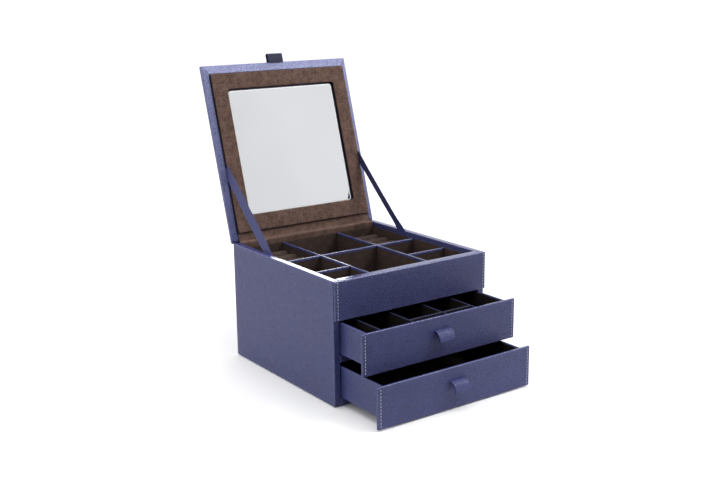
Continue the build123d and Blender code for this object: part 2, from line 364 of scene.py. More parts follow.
# %% [markdown]
# ## Making a wrapped board
#
# A leather-wrapped board has no sharp edge: the film turns round the board in a radius of about a
# millimetre. It isn't quite flat either, because glue and board leave a slow wave of a tenth of a
# millimetre that moves the reflections. So each board starts as a box of the CAD board's size,
# gets bevelled edges, is cut into cells about a centimetre wide, and has its points pushed
# inwards by smooth noise. Weighted normals keep the broad faces flat beside the rounded edges.

# %% Board helpers


def cut_across(bm, axis, places):
    """Cuts the whole mesh by planes across one axis, so that it has points there to move."""
    across = Vector([1.0 if i == axis else 0.0 for i in range(3)])
    for at in places:
        everything = bm.verts[:] + bm.edges[:] + bm.faces[:]
        bmesh.ops.bisect_plane(bm, geom=everything, plane_co=across * at, plane_no=across)


def cut_evenly(bm, low, high, count):
    """Cuts the mesh across X into count slices of the same width."""
    cut_across(bm, 0, [low.x + (high.x - low.x) * k / count for k in range(1, count)])


def to_object(bm, name):
    """Turns a bmesh into an object with smooth, evenly weighted shading."""
    bmesh.ops.recalc_face_normals(bm, faces=bm.faces[:])
    mesh = bpy.data.meshes.new(name)
    bm.to_mesh(mesh)
    bm.free()
    mesh.shade_smooth()
    piece = bpy.data.objects.new(name, mesh)
    bpy.context.scene.collection.objects.link(piece)
    even = piece.modifiers.new("Even shading", "WEIGHTED_NORMAL")
    even.keep_sharp = True
    return piece


def box_mesh(low, high, edge):
    """A box between two corners, with edges rounded by the radius edge."""
    bm = bmesh.new()
    bmesh.ops.create_cube(bm, size=1.0)
    size = high - low
    for vert in bm.verts:
        vert.co = low + Vector([(vert.co[i] + 0.5) * size[i] for i in range(3)])
    bmesh.ops.bevel(
        bm, geom=bm.edges[:], offset=edge, offset_type="OFFSET", segments=3, profile=0.5,
        affect="EDGES",
    )
    return bm


def mark_points(piece, name, values):
    """Stores one value for each point, such as how much pale film colour and painted highlight it
    gets.
    """
    layer = piece.data.attributes.new(name, "FLOAT", "POINT")
    layer.data.foreach_set("value", values)


def edge_share(spot, low, high, edge):
    """1 where a point lies on a rounded edge of the box, falling to 0 on the flat."""
    near = sorted(min(spot[i] - low[i], high[i] - spot[i]) for i in range(3))
    return max(0.0, 1 - near[1] / (1.1 * edge))


def rounded_board(
    name, low, high, edge, wave=0.12 * MM, cell=11 * MM, x_cuts=(), pale=0.5, polish=0.0
):
    """A wrapped board between two corners, with a painted highlight on its pale edges and a
    polished top.
    """
    bm = box_mesh(low, high, edge)
    for axis in range(3):
        length = high[axis] - low[axis]
        count = int(length / cell)
        cut_across(bm, axis, [low[axis] + length * k / count for k in range(1, count)])
    cut_across(bm, 0, x_cuts)
    bm.normal_update()
    # The rounded edges get the pale colour: partly stretched film, partly a painted highlight.
    stretch_and_highlight = [pale * edge_share(vert.co, low, high, edge) for vert in bm.verts]
    shine = [polish if vert.co.z > high.z - 0.6 * edge else 0.0 for vert in bm.verts]
    for vert, smooth in zip(bm.verts, shine):
        swell = 0.5 + 0.5 * noise.noise(vert.co / (38 * MM))
        vert.co -= vert.normal * wave * swell * (1 - 0.85 * smooth)
    piece = to_object(bm, name)
    mark_points(piece, "stretch_and_highlight", stretch_and_highlight)
    mark_points(piece, "polish", shine)
    return piece


def dress(piece, material, slot, *stands_for):
    """Gives a piece its material, and hides the CAD nodes that it stands for. Its slot is not used.
    """
    piece.data.materials.clear()
    piece.data.materials.append(material)
    if stands_for:
        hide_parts(*stands_for)
    return piece


def wrap_cad_board(node, body, edge, **details):
    """Wraps one CAD board in navy leather and makes it ride on its body."""
    low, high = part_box(node)
    piece = rounded_board(node + "_wrap", low, high, edge, **details)
    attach(dress(piece, navy_pu_leather, "navy_leather", node), body)
    return piece


print("board helpers are ready")

# %% [markdown]
# ## The case
#
# The case is four walls, a bottom, a shelf between the drawer bays and a front rail over them.
# The side walls run the full depth, so their front edges show as a narrow band beside the
# drawers. The two boards that nobody sees, the bottom and the shelf, are wrapped as well, because
# they show when a drawer is looked under.

# %% Case boards
for node, edge, polish in (
    ("left_wall", 1.4 * MM, 1.0),
    ("right_wall", 1.4 * MM, 0.9),
    ("back_wall", 1.0 * MM, 0.5),
    ("bottom_board", 0.8 * MM, 0.0),
    ("drawer_shelf", 0.8 * MM, 0.0),
    ("front_rail", 1.0 * MM, 0.95),
):
    piece = wrap_cad_board(node, "case", edge, polish=polish)
    print(piece.name, "has", len(piece.data.vertices), "points")

frame["nodes"]["base_sheet"].data.materials[0] = lining_paper

# %% [markdown]
# ## Stitched panels
#
# Three front panels, one fixed and two on the drawers, have a row of saddle stitches near each
# end. A stitch pulls the leather down into a shallow groove and then arches over it. The groove
# is made in the board's own mesh, by cutting extra lines beside the row and pushing them in. The
# thread is a small rounded tube for each stitch, with its ends dipping under the surface. The
# real stitches are about 4 mm apart. Here they are 4.4 mm apart, or they would run together.

# %% Sweeping a strip


def sweep(bm, path, across, width, thickness):
    """Adds a closed strip with a rounded section, whose width lies along across.

    Across is one direction, or a list with one for each point of a path that twists.
    """
    widths = across if isinstance(across, list) else [across] * len(path)
    radius = min(width, thickness) * 0.45
    across_reach = width / 2 - radius
    rise_reach = thickness / 2 - radius
    section = []
    for quarter, (a, r) in enumerate(((1, 1), (-1, 1), (-1, -1), (1, -1))):
        for step in range(4):
            turn = math.radians(90 * quarter + 30 * step)
            section.append(
                (
                    a * across_reach + radius * math.cos(turn),
                    r * rise_reach + radius * math.sin(turn),
                )
            )
    rings = []
    for i, point in enumerate(path):
        ahead = path[min(i + 1, len(path) - 1)] - path[max(i - 1, 0)]
        rise = ahead.normalized().cross(widths[i])
        rings.append([bm.verts.new(point + widths[i] * a + rise * r) for a, r in section])
    for one, other in zip(rings, rings[1:]):
        for i in range(len(section)):
            j = (i + 1) % len(section)
            bm.faces.new((one[i], one[j], other[j], other[i]))
    bm.faces.new(rings[0])
    bm.faces.new(rings[-1][::-1])


STITCH_PITCH = 4.4 * MM
STITCH_FROM_END = 4.5 * MM
THREAD = 1.1 * MM
GROOVE_HALF = 0.9 * MM
GROOVE_DEPTH = 0.35 * MM


def stitch_row(name, x, face_y, low_z, high_z, body):
    """One row of stitches up a panel's face, which looks towards -Y."""
    bm = bmesh.new()
    count = round((high_z - low_z - 3 * MM) / STITCH_PITCH)
    start = (low_z + high_z - (count - 1) * STITCH_PITCH) / 2
    # Each stitch leans a little, and dips into the leather at both ends.
    arch = ((-1.15, 0.6), (-0.95, 0.1), (-0.4, -0.2), (0.4, -0.2), (0.95, 0.1), (1.15, 0.6))
    for k in range(count):
        middle = start + k * STITCH_PITCH
        path = [
            Vector((x + 0.12 * along * MM, face_y + dip * MM, middle + along * MM))
            for along, dip in arch
        ]
        sweep(bm, path, Vector((1, 0, 0)), THREAD, THREAD * 0.7)
    row = to_object(bm, name)
    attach(dress(row, polyester_thread, None), body)
    return row


print("a stitch is", round(STITCH_PITCH / MM, 1), "mm from the next")

# %% The three panels


def stitched_panel(node, body):
    """A leather panel with a stitched groove near each end."""
    low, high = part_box(node)
    rows = (low.x + STITCH_FROM_END, high.x - STITCH_FROM_END)
    cuts = [row + side * GROOVE_HALF for row in rows for side in (-1, -0.5, 0, 0.5, 1)]
    panel = wrap_cad_board(
        node, body, 1.2 * MM, wave=0.2 * MM, cell=9 * MM, x_cuts=cuts, polish=0.8
    )
    for vert in panel.data.vertices:
        near = min(abs(vert.co.x - row) for row in rows) / GROOVE_HALF
        if near < 1 and vert.co.y < low.y + 0.6 * MM:
            vert.co.y += GROOVE_DEPTH * (1 - near * near)
    for side, row in zip(("left", "right"), rows):
        stitch_row(f"{node}_{side}_stitches", row, low.y + 0.15 * MM, low.z, high.z, body)
    return panel


for node, body in (
    ("top_front_panel", "case"),
    ("upper_drawer_panel", "upper_drawer"),
    ("lower_drawer_panel", "lower_drawer"),
):
    panel = stitched_panel(node, body)
    print(panel.name, "rides on", body)

# %% [markdown]
# ## Drawer boxes
#
# Behind each panel is a plain box of thin wrapped boards, with a suede liner glued inside. The
# liner is one folded sheet: a floor with four low walls that stop just under the boards' tops, so
# a line of leather shows above it. It is built as loops of a rounded rectangle, from the outside
# bottom, up, over the top edge, down the inside and across the floor.

# %% Loops of a rounded rectangle


def rounded_loop(half_x, half_y, radius, side_steps=12, corner_steps=5):
    """Points round a rounded rectangle about the origin, in its own plane."""
    points = []
    corners = ((1, -1, -90), (1, 1, 0), (-1, 1, 90), (-1, -1, 180))
    for i, (sx, sy, turn) in enumerate(corners):
        cx, cy = sx * (half_x - radius), sy * (half_y - radius)
        for k in range(corner_steps + 1):
            angle = math.radians(turn + 90 * k / corner_steps)
            points.append(Vector((cx + radius * math.cos(angle), cy + radius * math.sin(angle))))
        nx, ny, next_turn = corners[(i + 1) % 4]
        angle = math.radians(next_turn)
        target = Vector(
            (
                nx * (half_x - radius) + radius * math.cos(angle),
                ny * (half_y - radius) + radius * math.sin(angle),
            )
        )
        here = points[-1]
        points += [here.lerp(target, k / side_steps) for k in range(1, side_steps)]
    return points


def join_loops(bm, loops, closed=False, capped=False):
    """Bridges loops of the same number of points, in a ring if closed, with ends if capped."""
    rings = [[bm.verts.new(point) for point in loop] for loop in loops]
    pairs = list(zip(rings, rings[1:])) + ([(rings[-1], rings[0])] if closed else [])
    for one, other in pairs:
        for i in range(len(one)):
            j = (i + 1) % len(one)
            bm.faces.new((one[i], one[j], other[j], other[i]))
    if capped:
        bm.faces.new(rings[0][::-1])
        bm.faces.new(rings[-1])


print("a loop has", len(rounded_loop(1, 1, 0.1)), "points")

# %% The suede liner


def suede_liner(name, low, high, wall, drop, body, *stands_for):
    """An open suede tray inside a box of boards."""
    bm = bmesh.new()
    centre = (low + high) / 2
    half = (high - low) / 2
    top = high.z - drop
    rows = (
        (0.0, low.z),
        (0.0, top - wall / 2),
        (wall * 0.15, top - wall * 0.15),
        (wall / 2, top),
        (wall * 0.85, top - wall * 0.15),
        (wall, top - wall / 2),
        (wall, low.z + 3 * wall),
        (wall * 1.3, low.z + 1.7 * wall),
        (wall * 2.2, low.z + 1.1 * wall),
        (wall * 4, low.z + wall),
    )
    loops = []
    for inset, z in rows:
        flat = rounded_loop(half.x - inset, half.y - inset, max(2.5 * MM - inset, 0.6 * MM))
        loops.append([Vector((centre.x + p.x, centre.y + p.y, z)) for p in flat])
    join_loops(bm, loops, capped=True)
    liner = to_object(bm, name)
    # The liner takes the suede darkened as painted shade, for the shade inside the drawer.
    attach(dress(liner, shaded_suede, "brown_suede", *stands_for), body)
    return liner


LINER = 1.0 * MM
LEATHER_ABOVE_LINER = 1.6 * MM
print("a liner is", round(LINER / MM, 1), "mm thick")

# %% Leather boxes with their liners
for drawer in ("upper_drawer", "lower_drawer"):
    for part in ("left_side", "right_side", "front_board", "back_board", "bottom"):
        node = f"{drawer}_{part}"
        wrap_cad_board(node, drawer, 0.9 * MM, wave=0.08 * MM, cell=14 * MM, polish=0.5)
    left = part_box(f"{drawer}_left_side")[1]
    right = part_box(f"{drawer}_right_side")[0]
    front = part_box(f"{drawer}_front_board")[1]
    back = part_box(f"{drawer}_back_board")[0]
    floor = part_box(f"{drawer}_lining")[0]
    low = Vector((left.x, front.y, floor.z))
    high = Vector((right.x, back.y, left.z))
    liner = suede_liner(
        f"{drawer}_suede_liner", low, high, LINER, LEATHER_ABOVE_LINER, drawer,
        f"{drawer}_lining",
    )
    print(liner.name, "is", [round(s / MM, 1) for s in high - low], "mm")

# %% Cells of the upper drawer
FACE_BELOW_TOP = 0.6 * MM
CELL_BINDING = 2.2 * MM
for node in (
    *[f"upper_drawer_divider_{n}" for n in (1, 2, 3, 4)],
    *[f"upper_drawer_strip_{n}" for n in (1, 2)],
):
    low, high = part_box(node)
    under = high - Vector((0, 0, FACE_BELOW_TOP))
    face = rounded_board(f"{node}_face", low, under, 0.5 * MM, cell=20 * MM)
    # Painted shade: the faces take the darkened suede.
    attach(dress(face, shaded_suede, "brown_suede", node), "upper_drawer")
    base = Vector((low.x, low.y, high.z - CELL_BINDING))
    binding = rounded_board(
        f"{node}_binding", base, high, 0.8 * MM, wave=0.05 * MM, cell=20 * MM, pale=0.0
    )
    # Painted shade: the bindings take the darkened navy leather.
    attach(dress(binding, matt_shaded_pu_leather, "navy_leather"), "upper_drawer")
print("the upper drawer has six suede-faced cell dividers with leather bindings")

# %% [markdown]
# ## Leather tabs
#
# Each drawer is pulled by a leather loop that comes out of a slit in the panel, curls down and
# folds back on itself. The two layers are one strip swept along a quarter of an ellipse, round a
# tight fold and back, so the fold at the end and both cut edges are really there.

# %% Drawer tabs
TAB_LEATHER = 1.2 * MM
LAYER_GAP = 0.1 * MM
TAB_SLICES = 8


def drawer_tab(drawer):
    """The folded pull of one drawer."""
    low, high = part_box(f"{drawer}_tab")
    face_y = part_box(f"{drawer}_panel")[0].y
    offset = (TAB_LEATHER + LAYER_GAP) / 2
    reach = face_y - low.y - offset * 2
    fall = high.z - low.z - offset * 2
    top = high.z - offset
    root = face_y + 1.5 * MM

    def curl(turn, out):
        y = face_y - (reach + out) * math.sin(turn)
        z = top - fall + (fall + out) * math.cos(turn)
        return Vector((0, y, z))

    turns = [math.radians(90 * k / 14) for k in range(15)]
    outer = [Vector((0, root, top + offset))] + [curl(turn, offset) for turn in turns]
    inner = [curl(turn, -offset) for turn in turns[::-1]] + [Vector((0, root, top - offset))]
    end = (outer[-1] + inner[0]) / 2
    fold = [
        end + Vector((0, -offset * math.cos(a), -offset * math.sin(a)))
        for a in [math.radians(30 * k) for k in range(1, 6)]
    ]
    path = outer + fold + inner
    bm = bmesh.new()
    sweep(bm, path, Vector((1, 0, 0)), high.x - low.x, TAB_LEATHER)
    cut_evenly(bm, low, high, TAB_SLICES)
    tab = to_object(bm, f"{drawer}_leather_tab")
    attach(dress(tab, tab_pu_leather, "tab_leather", f"{drawer}_tab"), drawer)
    return tab


for drawer in ("upper_drawer", "lower_drawer"):
    tab = drawer_tab(drawer)
    print(tab.name, "has", len(tab.data.vertices), "points")

# %% [markdown]
# ## The tray
#
# The tray under the lid is divided into eight compartments. Its lining boards and dividers are
# faced with suede, which a material does on the CAD boards, because their shape is right. Along
# the top of each divider the maker folds a narrow leather binding. Bindings are thin boards with
# round tops, a little thicker than the divider. The cross binding stands a hair higher, as the
# piece that was glued on last does.

# %% Suede faces
for node in (
    "tray_floor",
    *[f"{side}_tray_lining" for side in ("left", "right", "front", "back")],
    *[f"{side}_{kind}_divider" for side in ("left", "right") for kind in ("long", "short")],
    "cross_divider",
):
    # The suede here is darkened as painted shade.
    frame["nodes"][node].data.materials[0] = tray_suede_shaded
print("the tray floor, four linings and five dividers are faced with suede")

# %% Divider bindings
BINDING_PROUD = 0.25 * MM
BINDING_DEPTH = 4.0 * MM
for node, extra in (
    ("left_long_divider", 0.0),
    ("right_long_divider", 0.0),
    ("cross_divider", 0.12 * MM),
    ("left_short_divider", 0.06 * MM),
    ("right_short_divider", 0.06 * MM),
):
    low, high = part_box(node)
    grow = Vector((BINDING_PROUD, BINDING_PROUD, 0))
    lengthways = 0 if high.x - low.x > high.y - low.y else 1
    grow[lengthways] = 0.0
    bottom = Vector((low.x, low.y, high.z - BINDING_DEPTH)) - grow
    top = high + grow + Vector((0, 0, BINDING_PROUD + extra))
    binding = rounded_board(
        f"{node}_binding", bottom, top, 1.0 * MM, wave=0.02 * MM, pale=0.5, polish=1.0
    )
    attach(dress(binding, navy_pu_leather, "navy_leather"), "case")
    print(binding.name, "is", round((high - low)[lengthways] / MM, 1), "mm long")

# %% [markdown]
# ## Ring rolls
#
# Rings are pushed between soft rolls: foam wrapped in suede, four to each back corner. A filled
# roll is tight, with sides that belly out until they touch the next one. A cloth simulation
# finds that shape: a slightly smaller blank is remeshed evenly, blown up by pressure like a
# balloon, and stopped where the real roll has no more room. One roll is simulated, and the other
# seven are copies with their own small dents.

# %% The blank of a roll
first_low, first_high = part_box("left_ring_roll_1")
roll_size = first_high - first_low
ROLL_SHRINK = 1.3 * MM
ROLL_BASE = 0.6 * MM


def roll_blank():
    """A roll with a flat base and a round top, lying along X about the origin."""
    half_length = roll_size.x / 2 - ROLL_SHRINK
    half_width = roll_size.y / 2 - ROLL_SHRINK
    top = roll_size.z - ROLL_SHRINK
    profile = [Vector((-half_width, ROLL_BASE)), Vector((-half_width, top - half_width))]
    for k in range(1, 9):
        angle = math.radians(180 - 180 * k / 9)
        profile.append(
            Vector((half_width * math.cos(angle), top - half_width * (1 - math.sin(angle))))
        )
    profile += [Vector((half_width, top - half_width)), Vector((half_width, ROLL_BASE))]
    bm = bmesh.new()
    ends = [
        [bm.verts.new((x, p.x, p.y)) for p in profile] for x in (-half_length, half_length)
    ]
    for i in range(len(profile)):
        j = (i + 1) % len(profile)
        bm.faces.new((ends[0][i], ends[0][j], ends[1][j], ends[1][i]))
    bm.faces.new(ends[0][::-1])
    bm.faces.new(ends[1])
    bmesh.ops.recalc_face_normals(bm, faces=bm.faces[:])
    mesh = bpy.data.meshes.new("roll_blank")
    bm.to_mesh(mesh)
    bm.free()
    blank = bpy.data.objects.new("roll_blank", mesh)
    bpy.context.scene.collection.objects.link(blank)
    return blank


roll = roll_blank()
print("a roll has room for", [round(s / MM, 1) for s in roll_size], "mm")

# %% Cloth pressure
CLOTH_FRAMES = 20


def apply_modifiers(piece):
    """Keeps the shape that the modifiers give now, and removes them."""
    shaped = bpy.data.meshes.new_from_object(
        piece.evaluated_get(bpy.context.evaluated_depsgraph_get())
    )
    piece.modifiers.clear()
    piece.data = shaped
    return piece


def blow_up(piece, pressure, cap):
    """Swells a closed piece with cloth pressure, and stops each point after a distance cap."""
    before = [vert.co.copy() for vert in piece.data.vertices]
    cloth = piece.modifiers.new("Filling", "CLOTH")
    cloth.settings.quality = 6
    cloth.settings.mass = 0.2
    cloth.settings.bending_stiffness = 0.3
    cloth.settings.use_pressure = True
    cloth.settings.uniform_pressure_force = pressure
    cloth.settings.effector_weights.gravity = 0.0
    for step in range(1, CLOTH_FRAMES + 1):
        bpy.context.scene.frame_set(step)
    apply_modifiers(piece)
    for vert, start in zip(piece.data.vertices, before):
        move = vert.co - start
        if move.length > cap:
            vert.co = start + move.normalized() * cap
    bpy.context.scene.frame_set(1)


print("the cloth runs for", CLOTH_FRAMES, "frames")

# %% Simulate one roll
ROLL_SWELL = 1.25 * MM
even_grid = roll.modifiers.new("Even grid", "REMESH")
even_grid.mode = "VOXEL"
even_grid.voxel_size = 2.6 * MM
apply_modifiers(roll)
blow_up(roll, 4.0, ROLL_SWELL)
roll.modifiers.new("Smooth skin", "SUBSURF").levels = 1
apply_modifiers(roll)
print("the simulated roll has", len(roll.data.vertices), "points")

# %% Lay out the eight rolls
DENT = 0.25 * MM
random.seed(7)
for side in ("left", "right"):
    for number in (1, 2, 3, 4):
        node = f"{side}_ring_roll_{number}"
        low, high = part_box(node)
        middle = (low + high) / 2
        mesh = roll.data.copy()
        flip = random.choice((-1, 1))
        drift = Vector([random.uniform(-1, 1) for _ in range(3)])
        for vert in mesh.vertices:
            dent = noise.noise(vert.co / (14 * MM) + drift * 5)
            spot = Vector((vert.co.x * flip, vert.co.y * flip, vert.co.z))
            spot -= vert.normal * DENT * (1 + dent)
            spot += Vector((middle.x, middle.y, low.z))
            vert.co = [min(max(spot[i], low[i]), high[i]) for i in range(3)]
        piece = bpy.data.objects.new(f"{side}_suede_roll_{number}", mesh)
        bpy.context.scene.collection.objects.link(piece)
        mesh.shade_smooth()
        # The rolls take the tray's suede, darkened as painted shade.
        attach(dress(piece, tray_suede_shaded, "brown_suede", node), "case")
bpy.data.objects.remove(roll)
print("eight rolls are laid out")

# %% [markdown]
# ## Working on the leaning lid
#
# The open lid leans back about 17 degrees past upright. It is easiest to build lid pieces flat,
# with x across, y up along the lid from the hinge and z rising towards the tray side, and then to
# turn the finished piece into place with one matrix. The hinge joint in the CAD record gives both
# the hinge line and the lean.

# %% The lid's own frame
lid_hinge = next(joint for joint in frame["joints"] if joint["name"] == "lid_hinge")
lean = math.radians(lid_hinge["range_deg"][1] - 90)
hinge = Vector(lid_hinge["pos_m"])
across_lid = Vector((1, 0, 0))
along_lid = Vector((0, math.sin(lean), math.cos(lean)))
rise_lid = Vector((0, -math.cos(lean), math.sin(lean)))
lid_turn = Matrix((across_lid, along_lid, rise_lid)).transposed()
lid_place = Matrix.Translation(hinge) @ lid_turn.to_4x4()


def lid_box(node):
    """The corners of a CAD node in the lid's own frame."""
    back = lid_place.inverted()
    points = [back @ vert.co for vert in frame["nodes"][node].data.vertices]
    low = Vector([min(p[i] for p in points) for i in range(3)])
    high = Vector([max(p[i] for p in points) for i in range(3)])
    return low, high


def on_lid(x, along, rise):
    """A point given in the lid's own frame, as it stands when the lid is open."""
    return lid_place @ Vector((x, along, rise))


def fix_on_lid(piece, material, slot, *stands_for):
    """Stands a piece that was built flat on the leaning lid, and makes it ride there."""
    piece.matrix_world = lid_place
    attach(dress(piece, material, slot, *stands_for), "lid")


board_low, board_high = lid_box("lid_board")
print("the lid leans", round(math.degrees(lean), 2), "degrees")
print("the lid board is", [round(s / MM, 1) for s in board_high - board_low], "mm")

# %% [markdown]
# ## Lid board and its turned-in rim
#
# The lid is one board wrapped from outside. The leather turns in over three edges and meets at
# the corners in mitres, so each strip of the rim is its own piece of leather, with a fine dark
# line where two strips meet. The tab's two ends lie under the top strip, and show as two faint
# steps. Each strip is a thin mesh with mitred ends.

# %% Measures of the lid's pieces
pad_low, pad_high = lid_box("mirror_pad")
tab_low, tab_high = lid_box("lid_tab")
glass_low, glass_high = lid_box("mirror_glass")
card_low = lid_box("mirror_backing")[0]
OPENING_GAP = 1.4 * MM
RIM_DROP = 3.0 * MM
RIM_LEATHER = 0.5 * MM
pad_middle = (pad_low + pad_high) / 2
pad_half = (pad_high - pad_low) / 2
glass_middle = (glass_low + glass_high) / 2
glass_half = (glass_high - glass_low) / 2
opening_half = glass_half + Vector((OPENING_GAP, OPENING_GAP, 0))
board_middle = (board_low + board_high) / 2
board_half = (board_high - board_low) / 2
print("the mirror frame is", [round(2 * h / MM, 1) for h in pad_half], "mm")

# %% Lid board
OPENING_CORNER = 4.2 * MM
LID_CORNER = 2.0 * MM
BOARD_EDGE = 2.0 * MM
RIM_BEND = 1.4 * MM


def rim_height(share):
    """How far the rim has risen from its outer edge, at share 0, to the pad, at share 1."""
    return board_high.z - RIM_DROP * max(0.0, 1 - share) ** 1.25


def lid_board_loops():
    """Loops from the middle of the lid's outside, round its edge and rim, to the recess floor."""
    rows = []
    for scale in (0.06, 0.2, 0.35, 0.5, 0.65, 0.8, 0.9, 0.96):
        rows.append((board_middle, board_half * scale, LID_CORNER * scale, board_low.z))
    for k in range(5):
        turn = math.radians(90 * k / 4)
        shrink = BOARD_EDGE * (1 - math.sin(turn))
        half = board_half - Vector((shrink, shrink, 0))
        height = board_low.z + BOARD_EDGE * (1 - math.cos(turn))
        rows.append((board_middle, half, LID_CORNER, height))
    for k in range(5):
        turn = math.radians(75 * k / 4)
        shrink = RIM_BEND * (1 - math.cos(turn))
        half = board_half - Vector((shrink, shrink, 0))
        height = rim_height(0) - RIM_LEATHER - RIM_BEND * (1 - math.sin(turn))
        rows.append((board_middle, half, LID_CORNER, height))
    rim = pad_low.x - board_low.x
    for share in (0.25, 0.5, 0.75, 1.0):
        half = board_half - Vector((rim * share, rim * share, 0))
        rows.append((board_middle, half, LID_CORNER, rim_height(share) - 2 * RIM_LEATHER))
    for height in (board_high.z - 2 * RIM_LEATHER, card_low.z - 0.05 * MM):
        rows.append((glass_middle, opening_half, OPENING_CORNER, height))
    loops = []
    for middle, half, radius, z in rows:
        flat = rounded_loop(half.x, half.y, max(radius, 0.5 * MM), 40, 5)
        loop = []
        for p in flat:
            spot = Vector((p.x + middle.x, p.y + middle.y, z))
            swell = noise.noise(Vector((spot.x, spot.y, 0)) / (45 * MM))
            spot.z += 0.12 * MM * (swell + 1) if z == board_low.z else 0.0
            loop.append(spot)
        loops.append(loop)
    return loops


bm = bmesh.new()
join_loops(bm, lid_board_loops(), capped=True)
board = to_object(bm, "lid_board_wrap")
# The film is stretched in a band round the rim's outer edge, and the band's pale colour is a
# painted highlight where that edge catches the light.
RIM_BAND = 3 * MM
RIM_STRETCH_AND_HIGHLIGHT = 0.8
from_rim = [abs(vert.co.z - rim_height(0)) for vert in board.data.vertices]
mark_points(board, "stretch_and_highlight", [RIM_STRETCH_AND_HIGHLIGHT if d < RIM_BAND / 2 else 0.0 for d in from_rim])
fix_on_lid(board, navy_pu_leather, "navy_leather", "lid_board")
print("the lid wrap has", len(board.data.vertices), "points")

# %% Rim strips
RIM_EDGE = 0.9 * MM
MITRE_GAP = 0.25 * MM


def rim_strip(name, outer, inner, steps):
    """One leather strip between its outer and inner edge lines, each given by two ends."""
    bm = bmesh.new()
    # Each row is a share of the way from the outer to the inner edge, and a depth below the top.
    rows = ((0.0, 1.6), (0.0, 0.8), (0.03, 0.25), (0.08, 0.0), (0.25, 0.0), (0.5, 0.0))
    rows += ((0.75, 0.0), (0.92, 0.0), (0.97, 0.25), (1.0, 1.6))
    lines = []
    for share, depth in rows:
        line = []
        for k in range(steps + 1):
            start = outer[0].lerp(outer[1], k / steps)
            end = inner[0].lerp(inner[1], k / steps)
            spot = start.lerp(end, share)
            height = rim_height(share) - RIM_LEATHER * depth
            # The tab's two ends lie under the top strip and lift it.
            over_tab = 1 - max(0.0, abs(spot.x) - tab_high.x) / (0.8 * MM)
            if name.startswith("top") and depth < 1:
                height += 0.28 * MM * max(0.0, over_tab)
            height -= 0.1 * MM * abs(noise.noise(Vector((spot.x, spot.y, 0)) / (7 * MM)))
            line.append(bm.verts.new((spot.x, spot.y, height)))
        lines.append(line)
    for one, other in zip(lines, lines[1:] + lines[:1]):
        for k in range(steps):
            bm.faces.new((one[k], one[k + 1], other[k + 1], other[k]))
    bm.faces.new([line[0] for line in lines])
    bm.faces.new([line[-1] for line in lines][::-1])
    strip = to_object(bm, name)
    # The pale colour grows from the hinge end to the top: a painted highlight, lighter where more
    # light falls on the rim.
    lit_towards_top = [0.15 + 0.85 * vert.co.y / board_high.y for vert in strip.data.vertices]
    mark_points(strip, "stretch_and_highlight", lit_towards_top)
    fix_on_lid(strip, navy_pu_leather, "navy_leather")


print("the rim's top edge is", round(rim_height(0) / MM, 1), "mm above the hinge line")

# %% Three mitred strips
RIM_PAST_PAD = 1.0 * MM
HINGE_END = 1.5 * MM
outer_top = board_high.y - RIM_EDGE
inner_top = pad_high.y + RIM_PAST_PAD
for side, sign in (("left", -1), ("right", 1)):
    outer_x = sign * (board_high.x - RIM_EDGE)
    inner_x = sign * (pad_high.x + RIM_PAST_PAD)
    outer = (Vector((outer_x, HINGE_END)), Vector((outer_x, outer_top - MITRE_GAP)))
    inner = (Vector((inner_x, HINGE_END)), Vector((inner_x, inner_top - MITRE_GAP)))
    rim_strip(f"{side}_rim_strip", outer, inner, 70)
outer_x = board_high.x - RIM_EDGE - MITRE_GAP
inner_x = pad_high.x + RIM_PAST_PAD - MITRE_GAP
rim_strip(
    "top_rim_strip",
    (Vector((-outer_x, outer_top)), Vector((outer_x, outer_top))),
    (Vector((-inner_x, inner_top)), Vector((inner_x, inner_top))),
    150,
)
print("the rim is", round((pad_low.x - board_low.x) / MM, 1), "mm wide beside the pad")

# %% [markdown]
# ## Padded mirror frame
#
# The brown frame is a card ring with thin foam on it, wrapped in suede. Its edges are soft, it
# crowns a little between them, and it has slight dents. Remeshing for a cloth simulation would
# erase a pad only 5 mm thick, so the ring is built from loops that run from the opening's wall,
# over the crown and down the outer side.

# %% Mirror frame
inner_loop = rounded_loop(opening_half.x, opening_half.y, OPENING_CORNER, 40, 7)
outer_loop = rounded_loop(pad_half.x, pad_half.y, LID_CORNER, 40, 7)
rise = pad_high.z - pad_low.z
# Rows run from the opening to the outside: share of the way across, and share of the height.
frame_rows = [(0.0, 0.02), (0.0, 0.35), (0.0, 0.72), (0.012, 0.87), (0.035, 0.955), (0.07, 0.985)]
frame_rows += [(0.16, 0.995), (0.3, 1.0), (0.5, 1.0), (0.7, 1.0), (0.84, 0.995), (0.93, 0.98)]
frame_rows += [(0.965, 0.94), (0.988, 0.85), (1.0, 0.7), (1.0, 0.35), (1.0, 0.02)]
bm = bmesh.new()
loops = []
for share, height in frame_rows:
    loop = []
    for inner, outer in zip(inner_loop, outer_loop):
        from_point = Vector((inner.x + glass_middle.x, inner.y + glass_middle.y))
        to_point = Vector((outer.x + pad_middle.x, outer.y + pad_middle.y))
        spot = from_point.lerp(to_point, share)
        dent = noise.noise(Vector((spot.x, spot.y, 0)) / (26 * MM))
        soft = 0.28 * MM * (0.5 + 0.5 * dent) if height > 0.9 else 0.0
        loop.append(Vector((spot.x, spot.y, pad_low.z + rise * height - soft)))
    loops.append(loop)
join_loops(bm, loops, closed=True)
mirror_frame = to_object(bm, "padded_mirror_frame")
fix_on_lid(mirror_frame, brown_suede, "brown_suede", "mirror_pad")
# The card's sides, down in the gap beside the rim and in the mirror's recess, take the darker suede
# as painted shade.
mirror_frame.data.materials.append(shaded_suede)
for face in mirror_frame.data.polygons:
    if abs(face.normal.z) < 0.35 and face.center.z < pad_low.z + rise * 0.75:
        face.material_index = 1
print("the mirror frame has", len(mirror_frame.data.vertices), "points")

